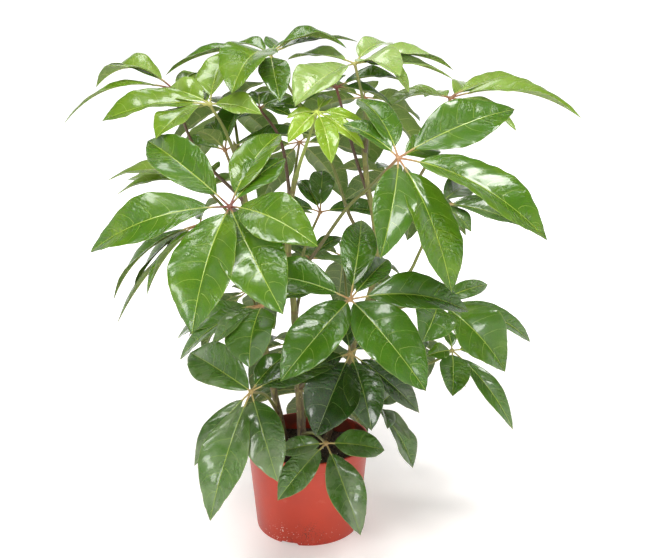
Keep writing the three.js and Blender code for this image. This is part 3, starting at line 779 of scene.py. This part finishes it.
def notch_lift(radius, height, turn):
    """How far the foot is raised over the drain notches: a flat-topped wave round the pot,
    for places that are within the notches' depth of the outside and low on the wall."""
    spacing = 2 * np.pi / DRAIN_NOTCHES
    off_middle = (turn - math.radians(DRAIN_TURN) + spacing / 2) % spacing - spacing / 2
    across = np.abs(off_middle) * FOOT_RADIUS
    inside = smoothstep(DRAIN_WIDTH / 2 + 0.6, DRAIN_WIDTH / 2 - 0.6, across)
    outer = radius > FOOT_RADIUS - DRAIN_DEPTH
    low = smoothstep(DRAIN_HEIGHT * 3, 0, height)
    return DRAIN_HEIGHT * inside * outer * low


def make_pot():
    """A nursery pot: one lathed wall, a band under the lip, and notches round the foot."""
    band_foot = POT_HEIGHT - RIM_BAND
    inside = POT_WALL + RIM_STEP
    notch = FOOT_RADIUS - DRAIN_DEPTH
    wall = [(wall_radius(height), height, 0) for height in np.linspace(12, band_foot - 10, 8)]
    corners = [
        (20, 0, 0), (60, 0, 0), (notch - 0.4, 0, 0), (notch + 0.4, 0, 0),
        (FOOT_RADIUS, 0, 2.4), (wall_radius(7), 7, 0),
        *wall,
        (wall_radius(band_foot), band_foot, 1.0),
        (wall_radius(band_foot) + RIM_STEP, band_foot + 1, 0.8),
        (RIM_RADIUS - 0.3, POT_HEIGHT - 5, 1.2), (RIM_RADIUS, POT_HEIGHT - 3.8, 0.5),
        (RIM_RADIUS, POT_HEIGHT, 1.4), (RIM_RADIUS - inside, POT_HEIGHT, 1.4),
        (RIM_RADIUS - inside - 0.5, POT_HEIGHT - 8, 0), (wall_radius(90) - POT_WALL, 90, 0),
        (wall_radius(9) - POT_WALL, 9, 0), (wall_radius(POT_FLOOR) - POT_WALL, POT_FLOOR, 2),
        (notch - 4, POT_FLOOR, 0), (30, POT_FLOOR, 0),
    ]
    skin = Skin()
    rings = lathe(rounded(corners), POT_SIDES, notch_lift)
    skin.add_rings(rings, (0, 0, 0), (0, 0, POT_FLOOR * MM))
    skin.make("pot_shell", [pot_finish()], "pot")


def lumps(x, y):
    """Uneven ground, from about -1 to 1: a sum of sine waves that run every way, from 60 mm
    long down to 6 mm, the short ones low."""
    number = np.arange(28)
    wave = 60 * 0.92**number
    heading, phase = 2 * np.pi * draw(number), 2 * np.pi * draw(number + 0.5)
    run = x[..., None] * np.cos(heading) + y[..., None] * np.sin(heading)
    return (np.sin(run * 2 * np.pi / wave + phase) * wave / 60).sum(axis=-1) / 3


def soil_height(x, y):
    """The soil's surface in millimetres: a low mound round the stems, with lumps."""
    edge = wall_radius(SOIL_TOP) - POT_WALL
    share = np.clip(np.hypot(x, y) / edge, 0, 1)
    mound = SOIL_MOUND * (1 - share**2)
    return SOIL_TOP + mound + SOIL_LUMPS * lumps(x, y)


def make_soil():
    """The root ball as a lathed block with an uneven top, and loose crumbs on it."""
    skin = Skin("grain")
    foot = POT_FLOOR + SOIL_GAP

    def reach(height):
        return wall_radius(height) - POT_WALL - SOIL_GAP

    wall = [(60, foot), (reach(foot) - 6, foot), (reach(foot + 6), foot + 6),
        (reach(SOIL_TOP - 8), SOIL_TOP - 8)]
    ground = [(radius, SOIL_TOP) for radius in np.linspace(reach(SOIL_TOP), 2, SOIL_RINGS)]
    rings = lathe(np.array(wall + ground), SOIL_SIDES)
    top = rings[len(wall):]
    top[..., 2] = soil_height(top[..., 0] / MM, top[..., 1] / MM) * MM
    last = np.array([0, 0, top[-1, :, 2].mean()])
    skin.add_rings(rings, (0, 0, foot * MM), last, grain=0.5)
    add_crumbs(skin)
    skin.make("soil_surface", [soil_finish()], "soil")


def add_crumbs(skin):
    """Crumbs of peat and bark: a 12-cornered ball, squashed and turned its own way at each
    place. All are worked out in one go as ball x size x turn + place."""
    rng = np.random.default_rng(CRUMB_SEED)
    golden = (1 + 5**0.5) / 2
    ball = np.array([(0, a, b * golden) for a in (-1, 1) for b in (-1, 1)], float)
    ball = unit(np.concatenate([ball, np.roll(ball, 1, axis=1), np.roll(ball, 2, axis=1)]))
    faces = ball_faces(ball)
    angle = rng.uniform(0, 2 * np.pi, CRUMBS)
    distance = (wall_radius(SOIL_TOP) - POT_WALL - 5) * np.sqrt(rng.uniform(0, 1, CRUMBS))
    x, y = distance * np.cos(angle), distance * np.sin(angle)
    size = rng.uniform(*CRUMB_RADIUS, (CRUMBS, 1)) * rng.uniform(0.5, 1.3, (CRUMBS, 3))
    turns = np.linalg.qr(rng.normal(size=(CRUMBS, 3, 3)))[0]
    turns *= np.linalg.det(turns)[:, None, None]
    wobble = rng.uniform(0.8, 1.2, (CRUMBS, 12, 1))
    shapes = np.einsum("nij,nkj->nki", turns, ball * wobble * size[:, None])
    places = np.column_stack([x, y, soil_height(x, y) + size.mean(axis=1) * 0.3])
    grain = np.repeat(rng.uniform(0, 1, CRUMBS), 12)
    numbers = skin.add_points((shapes + places[:, None]) * MM, {"grain": grain})
    skin.add_faces(numbers.reshape(CRUMBS, 12)[:, faces], 0)


def ball_faces(ball):
    """The 20 faces of the 12-cornered ball: each set of three corners that are all
    neighbours, turned so that it looks outwards."""
    near = np.linalg.norm(ball[:, None] - ball[None], axis=-1) < 1.1
    first, second, third = np.meshgrid(*[np.arange(12)] * 3, indexing="ij")
    chosen = (first < second) & (second < third)
    chosen &= near[first, second] & near[second, third] & near[first, third]
    faces = np.column_stack([first[chosen], second[chosen], third[chosen]])
    a, b, c = (ball[faces[:, corner]] for corner in range(3))
    inward = (np.cross(b - a, c - a) * a).sum(axis=1) < 0
    faces[inward] = faces[inward][:, ::-1]
    return faces


# ------------------------------------------------------------------ stems


def stem_line(stem):
    """The stem's axis as points, in metres."""
    return smooth_curve(np.array(STEMS[stem]["axis"]) * MM, 240)


def stem_point(stem, height):
    """The place on a stem's axis at a height in millimetres."""
    line = stem_line(stem)
    return read_line(line, line[:, 2], height * MM)[0]


def stem_radius(stem, height):
    """A stem's radius in metres at a height in millimetres: an even taper."""
    foot, tip = STEMS[stem]["radius"]
    low, high = STEMS[stem]["axis"][0][2], STEMS[stem]["axis"][-1][2]
    return (foot + (tip - foot) * np.clip((height - low) / (high - low), 0, 1)) * MM


def make_stem(stem, joints, finish):
    """A stem: a taper that swells where leaves join it, ringed by the scars of leaves that
    fell, fluted a little, and closed by a pointed bud."""
    line = stem_line(stem)
    bud = line[-1] + unit(line[-1] - line[-8]) * BUD_LENGTH * MM
    path = smooth_curve(np.vstack([line[::8], line[-1:], bud]), STEM_RINGS)
    height = path[:, 2:] / MM
    scars = np.arange(SOIL_TOP + 30, path[-1, 2] / MM - 30, SCAR_SPACING)
    scars = scars + SCAR_CHANGE * (draw(scars) - 0.5)
    swelling = JOINT_SWELLING * bell(height, np.array(joints), 8).sum(axis=1, keepdims=True)
    ridges = SCAR_RIDGE * bell(height, scars, 1.8).sum(axis=1, keepdims=True)
    to_tip = np.linalg.norm(path - path[-1], axis=1, keepdims=True) / (15 * MM)
    turn = full_turn(STEM_SIDES)[None]
    flutes = 0.03 * np.sin(3 * turn + height / 31) + 0.02 * np.sin(5 * turn - height / 17)
    radius = stem_radius(stem, height) * (1 + swelling + ridges) * np.clip(to_tip, 0.02, 1) ** 0.6
    side, upper = path_frames(path)
    around = spokes(turn, side[:, None], upper[:, None])
    rings = path[:, None] + (radius * (1 + flutes))[..., None] * around
    skin = Skin("tone")
    scar_tone = bell(height, scars, 2.2).sum(axis=1, keepdims=True)
    skin.add_rings(rings, path[0], path[-1], tone=scar_tone)
    skin.make(stem + "_bark", [finish], stem)


# ------------------------------------------------------------------ leaves

TOP, UNDER, STALK = range(3)

# One ring of a blade, from the right margin over the top to the left margin and back
# underneath. Each column lies at RING_RIB rib widths plus RING_SPREAD of what is left.
SPREAD = np.array([0, 0.09, 0.2, 0.33, 0.47, 0.61, 0.75, 0.88, 0.975])
TOP_SPREAD = np.concatenate([SPREAD[::-1], [0], -SPREAD])
TOP_RIB = np.concatenate([np.ones(len(SPREAD)), [0], -np.ones(len(SPREAD))])
RING_SPREAD = np.concatenate([[1], TOP_SPREAD, [-1], -TOP_SPREAD])
RING_RIB = np.concatenate([[1], TOP_RIB, [-1], -TOP_RIB])
RING_LAYER = np.repeat([0, 1, 0, -1], [1, len(TOP_SPREAD), 1, len(TOP_SPREAD)])
RING_FINISH = np.repeat([TOP, UNDER], len(TOP_SPREAD) + 1)


def blade_outline(share):
    """Half width of a blade as a share of its widest: a rounded base, the widest place just
    past the middle, and a drawn-out point. A skewed half sine, thinned at the tip."""
    tip = np.sqrt((1 - share) / (1.05 - share))
    return 1.03 * np.sin(np.pi * share**0.93) ** 0.72 * tip


USUAL = (LEAFLET_ARCH, STALK_SHARE)


def add_leaflet(skin, hub, facing, leaflet, seed, tone, red):
    """One leaflet: its stalk, then its blade.

    The midrib is a shallow parabola above the straight line from hub to tip. Across it the
    blade is a soft V. Each half is puffed between the veins, which lean forward from the
    midrib and curve on towards the tip, and flutters a little at its margin."""
    heading, rise, reach, width, arch, stalk = leaflet + USUAL[len(leaflet) - 4:]
    arch = math.tan(math.radians(arch))
    reach, half_width = reach * MM, width / 2 * MM
    along = direction(heading, rise)
    across = unit(np.cross(facing, along))
    outward = np.cross(along, across)
    sway = SWAY * (draw(seed + 0.2) - 0.5) * reach

    def midrib(share):
        share = np.asarray(share)[..., None]
        return (hub + along * share * reach + outward * arch * reach * share * (1 - share)
            + across * sway * np.sin(np.pi * share))

    t = np.linspace(0, 1, int(20 + reach / (BLADE_STEP * MM)))[:-1, None]
    share = crowded(t, 0.4)
    rib = (RIB_HALF_WIDTH * (1 - share) ** 0.8 + 0.2) * MM
    veins = reach * (1 - stalk) / (VEIN_SPACING * MM)
    teeth = TOOTH * smoothstep(0.6, 0.85, share) * (1 - (share * veins * 1.5) % 1)
    half = np.maximum(half_width * (blade_outline(share) - teeth), rib * 1.05)
    x = rib * RING_RIB + (half - rib) * RING_SPREAD
    part = np.abs(x) / half
    side = np.sign(RING_RIB)

    lean = 0.06 * part + 0.10 * part**2.2
    offset = (0.35 * (side > 0) + 0.15 * draw(seed + 0.9)) * smoothstep(0, 0.12, part)
    vein = veins * (share - lean) + offset
    fold = FOLD + FOLD_CHANGE * draw(seed)
    lift = 0.07 * width * MM * np.sin(2 * np.pi * draw(seed + 0.5) + share * 8)
    belly = half * fold * (1.45 * part - 0.45 * part**3)
    wave = lift * blade_outline(share) * part * side
    puff = PUFF * MM * np.sqrt(np.sin(np.pi * np.clip(share, 0.002, 1)))
    puff = puff * (0.5 - 0.5 * np.cos(2 * np.pi * vein)) ** 0.6
    puff = puff * (1 - part**4) * smoothstep(0, 0.25, part)
    flutter = FLUTTER * half * part**4 * np.sin(2 * np.pi * vein + 3)
    height = belly + wave + puff + flutter
    keel = np.maximum(0, 1 - np.abs(x) / rib) * rib
    layer = BLADE_THICKNESS / 2 * MM * RING_LAYER
    height = height + layer + np.where(RING_LAYER > 0, 0.25, -0.9 * (RING_LAYER < 0)) * keel

    centre = midrib(stalk + share[:, 0] * (1 - stalk))[:, None]
    rings = centre + across * x[..., None] + outward * height[..., None]
    skin.add_rings(rings, centre[0, 0], midrib(1.0), RING_FINISH, along=share, across=part,
        vein=vein, rib=np.abs(x) / MM, tone=tone)

    stalk_share = np.linspace(0, stalk + 0.035, 12)
    path = midrib(stalk_share) - outward * smoothstep(stalk * 0.8, stalk_share[-1],
        stalk_share)[:, None] * 0.8 * MM
    swell = 1 + 0.35 * np.exp(-stalk_share / 0.03) + 0.12 * bell(stalk_share, 0.12, 0.02)
    skin.add_tube(path, STALK_RADIUS * MM * swell, 8, STALK,
        tone=1 + stalk_share[:, None] / stalk_share[-1], red=red)


def add_knob(skin, centre, axis, red):
    """The hub that the stalks spread from: a ball flattened along the leaf's axis, with
    low ribs: radius x sin latitude x (1 + ripple)."""
    side = unit(np.cross(axis, (0.3, 0.8, 0.1)))
    around = spokes(full_turn(3 * HUB_RIBS), side, np.cross(axis, side))
    latitude = np.linspace(0.12, np.pi - 0.12, 8)[:, None, None]
    ripple = 0.08 * np.cos(HUB_RIBS * full_turn(3 * HUB_RIBS))[:, None]
    pole = axis * HUB_FLATNESS * HUB_RADIUS * MM
    rings = (centre - pole * np.cos(latitude)
        + HUB_RADIUS * MM * np.sin(latitude) * (1 + ripple) * around)
    skin.add_rings(rings, centre - pole, centre + pole, STALK, tone=1.05, red=red)


def add_petiole(skin, leaf, hub, red):
    """The leaf's long stalk: a tube along a smooth curve, thicker where it clasps the stem
    and where it meets the hub, with a thin pointed claw above its foot."""
    start = stem_point(leaf["stem"], leaf["start"])
    bow = np.linalg.norm(hub - start) * PETIOLE_BOW
    between = np.array(leaf["via"]) * MM if leaf["via"] else [(start + hub) / 2 + UP * bow]
    line = smooth_curve([start, *between, hub], 160)
    share = crowded(np.linspace(0, 1, PETIOLE_RINGS), 0.55)
    path = read_line(line, np.linspace(0, 1, len(line)), share)
    length = np.linalg.norm(np.diff(line, axis=0), axis=1).sum()
    from_foot, to_hub = share * length / MM, (1 - share) * length / MM
    radius = PETIOLE_FOOT_RADIUS + (PETIOLE_TOP_RADIUS - PETIOLE_FOOT_RADIUS) * share
    radius = radius * (1 + PETIOLE_FOOT_SWELLING * bell(from_foot, 11, 9)
        + PETIOLE_TOP_SWELLING * np.exp(-to_hub / 7))
    skin.add_tube(path, radius * MM, PETIOLE_SIDES, STALK, tone=share[:, None], red=red)

    away = line[12] - start
    away = unit(away - UP * away[2])
    surface = stem_radius(leaf["stem"], leaf["start"]) / MM
    places = [start + (away * reach + UP * height) * MM
        for reach, height in [(surface * 0.5, 4), (surface + 1.6, 12), (surface + 0.6, 25)]]
    claw = smooth_curve(places, 10)
    skin.add_tube(claw, np.linspace(2.6, 0.25, 10) * MM, 8, STALK, tone=0.0, red=red)


def rear_leaf(seed, stem, start, hub, turned):
    """A rear leaf in the same terms as the others. Its plane is tilted away from the clump,
    and its leaflets lie on a flat cone below that plane."""
    outward = math.degrees(math.atan2(hub[1], hub[0]))
    facing = direction(outward, 90 - REAR_TILT)
    downhill = direction(outward, -REAR_TILT)
    level = np.cross(facing, downhill)
    leaflets = []
    for i in range(REAR_LEAFLETS):
        turn = turned + i * 360 / REAR_LEAFLETS + REAR_TURN_CHANGE * (draw(seed * 10 + i) - 0.5)
        turn = math.radians(turn)
        droop = math.radians(REAR_DROOP + REAR_DROOP_CHANGE * draw(seed * 10 + i + 0.3))
        way = ((downhill * math.cos(turn) + level * math.sin(turn)) * math.cos(droop)
            - facing * math.sin(droop))
        heading, rise = math.degrees(math.atan2(way[1], way[0])), math.degrees(math.asin(way[2]))
        reach = REAR_REACH + REAR_REACH_CHANGE * math.cos(turn)
        leaflets.append((heading, rise, reach, reach * REAR_WIDTH_SHARE))
    return grow(stem, start, hub, (outward, REAR_TILT), *leaflets)


def make_leaf(name, leaf, number, finishes):
    """One compound leaf, its green set by its own tone or by how high it grows."""
    skin = Skin("along", "across", "vein", "rib", "tone", "red")
    hub = np.array(leaf["hub"]) * MM
    tone, red = leaf["tone"], leaf["red"]
    facing = direction(leaf["facing"][0], 90 - leaf["facing"][1])
    if tone is None:
        (low, high), (dark, light) = TONE_HEIGHTS, HEIGHT_TONES
        tone = dark + (light - dark) * (hub[2] - low) / (high - low)
    add_petiole(skin, leaf, hub, red)
    add_knob(skin, hub, facing, red)
    for seed, leaflet in enumerate(leaf["leaflets"], number * 10):
        own_tone = tone + TONE_CHANGE * (draw(seed + 0.7) - 0.5)
        add_leaflet(skin, hub, facing, leaflet, seed, own_tone, red)
    skin.make(name + "_foliage", finishes, name)


def make_plant():
    """The stems and all their leaves."""
    leaves = dict(LEAVES)
    for seed, (name, row) in enumerate(REAR_LEAVES.items(), REAR_SEED):
        leaves[name] = rear_leaf(seed, *row)
    bark = bark_finish()
    for stem in STEMS:
        make_stem(stem, [leaf["start"] for leaf in leaves.values() if leaf["stem"] == stem], bark)
    grown = [
        # The deep green, worn by low and inner leaves, is partly painted shade.
        leaf_top_finish("leaf_upper_face", (25, 50, 8), (55, 92, 9), (103, 130, 22),
            (158, 176, 66)),
        leaf_under_finish("leaf_lower_face", (62, 88, 40), (110, 134, 52), (160, 168, 96)),
        stalk_finish("leaf_stalk", (78, 60, 38), (104, 112, 46), (156, 156, 84)),
    ]
    fresh = [
        leaf_top_finish("young_leaf_upper_face", (84, 116, 26), (116, 146, 34), (142, 166, 48),
            (180, 192, 96)),
        leaf_under_finish("young_leaf_lower_face", (140, 162, 60), (176, 190, 84), (204, 208, 120)),
        stalk_finish("young_leaf_stalk", (108, 120, 50), (132, 148, 62), (170, 186, 80)),
    ]
    for number, (name, leaf) in enumerate(leaves.items(), 1):
        make_leaf(name, leaf, number, fresh if leaf["young"] else grown)


# ------------------------------------------------------------------ studio


def make_floor():
    """A wide round floor, pale and a little warm, that glows towards its far edge so that it
    meets the white of the room."""
    right, back = np.eye(3)[:2]
    rim = spokes(full_turn(FLOOR_SIDES), right, back) * FLOOR_RADIUS - UP * FLOOR_DROP * MM
    mesh = bpy.data.meshes.new("studio_floor")
    mesh.from_pydata(rim.tolist(), [], [list(range(FLOOR_SIDES))])
    floor = put("studio_floor", mesh)
    skin = Finish("studio_floor_paint")
    share = skin.step(skin.distance(skin.place), *FLOOR_FADE, FLOOR_GLOW, 1.0)
    glow = skin.layers(BLACK, (share, WHITE))
    tint = skin.layers((243, 238, 236), (skin.noise(3, 2), (246, 242, 240)))
    mesh.materials.append(skin.wear(Base_Color=tint, Roughness=0.6, Emission_Color=glow,
        Emission_Strength=1.0))


def make_room():
    """The room's own light: white round the horizon, brightest at the wall behind the
    plant, and dimmer overhead."""
    room = Finish("studio_room", bpy.data.worlds, "Background", "Generated")
    wall = room.step(room.along("Y"), -0.2, 0.6, HORIZON_LIGHT, WALL_LIGHT)
    strength = room.step(room.along("Z"), 0.2, 0.6, wall, CEILING_LIGHT)
    bpy.context.scene.world = room.wear(Color=linear(*WHITE), Strength=strength)


def make_lights():
    """The soft boxes: a small one high on the right, a broad one on the left, a low one in
    front and a broad one high behind."""
    for name, (place, size, watts, tint) in LIGHTS.items():
        light = bpy.data.lights.new(name, "AREA")
        light.size = size
        light.energy = watts
        light.color = tint
        lamp = put(name, light)
        lamp.location = place
        lamp.rotation_euler = (Vector(LIT) - Vector(place)).to_track_quat("-Z", "Y").to_euler()


def make_camera():
    """The viewpoint: a little right of the middle, looking down on the plant."""
    lens = bpy.data.cameras.new("camera")
    lens.lens = CAMERA_LENS
    camera = put("camera", lens)
    camera.location = CAMERA_PLACE
    camera.rotation_euler = (math.radians(90 - CAMERA_DIP), 0, 0)
    bpy.context.scene.camera = camera


make_camera()
make_pot()
make_soil()
make_plant()
make_floor()
make_room()
make_lights()
bpy.context.scene.view_settings.view_transform = "Standard"
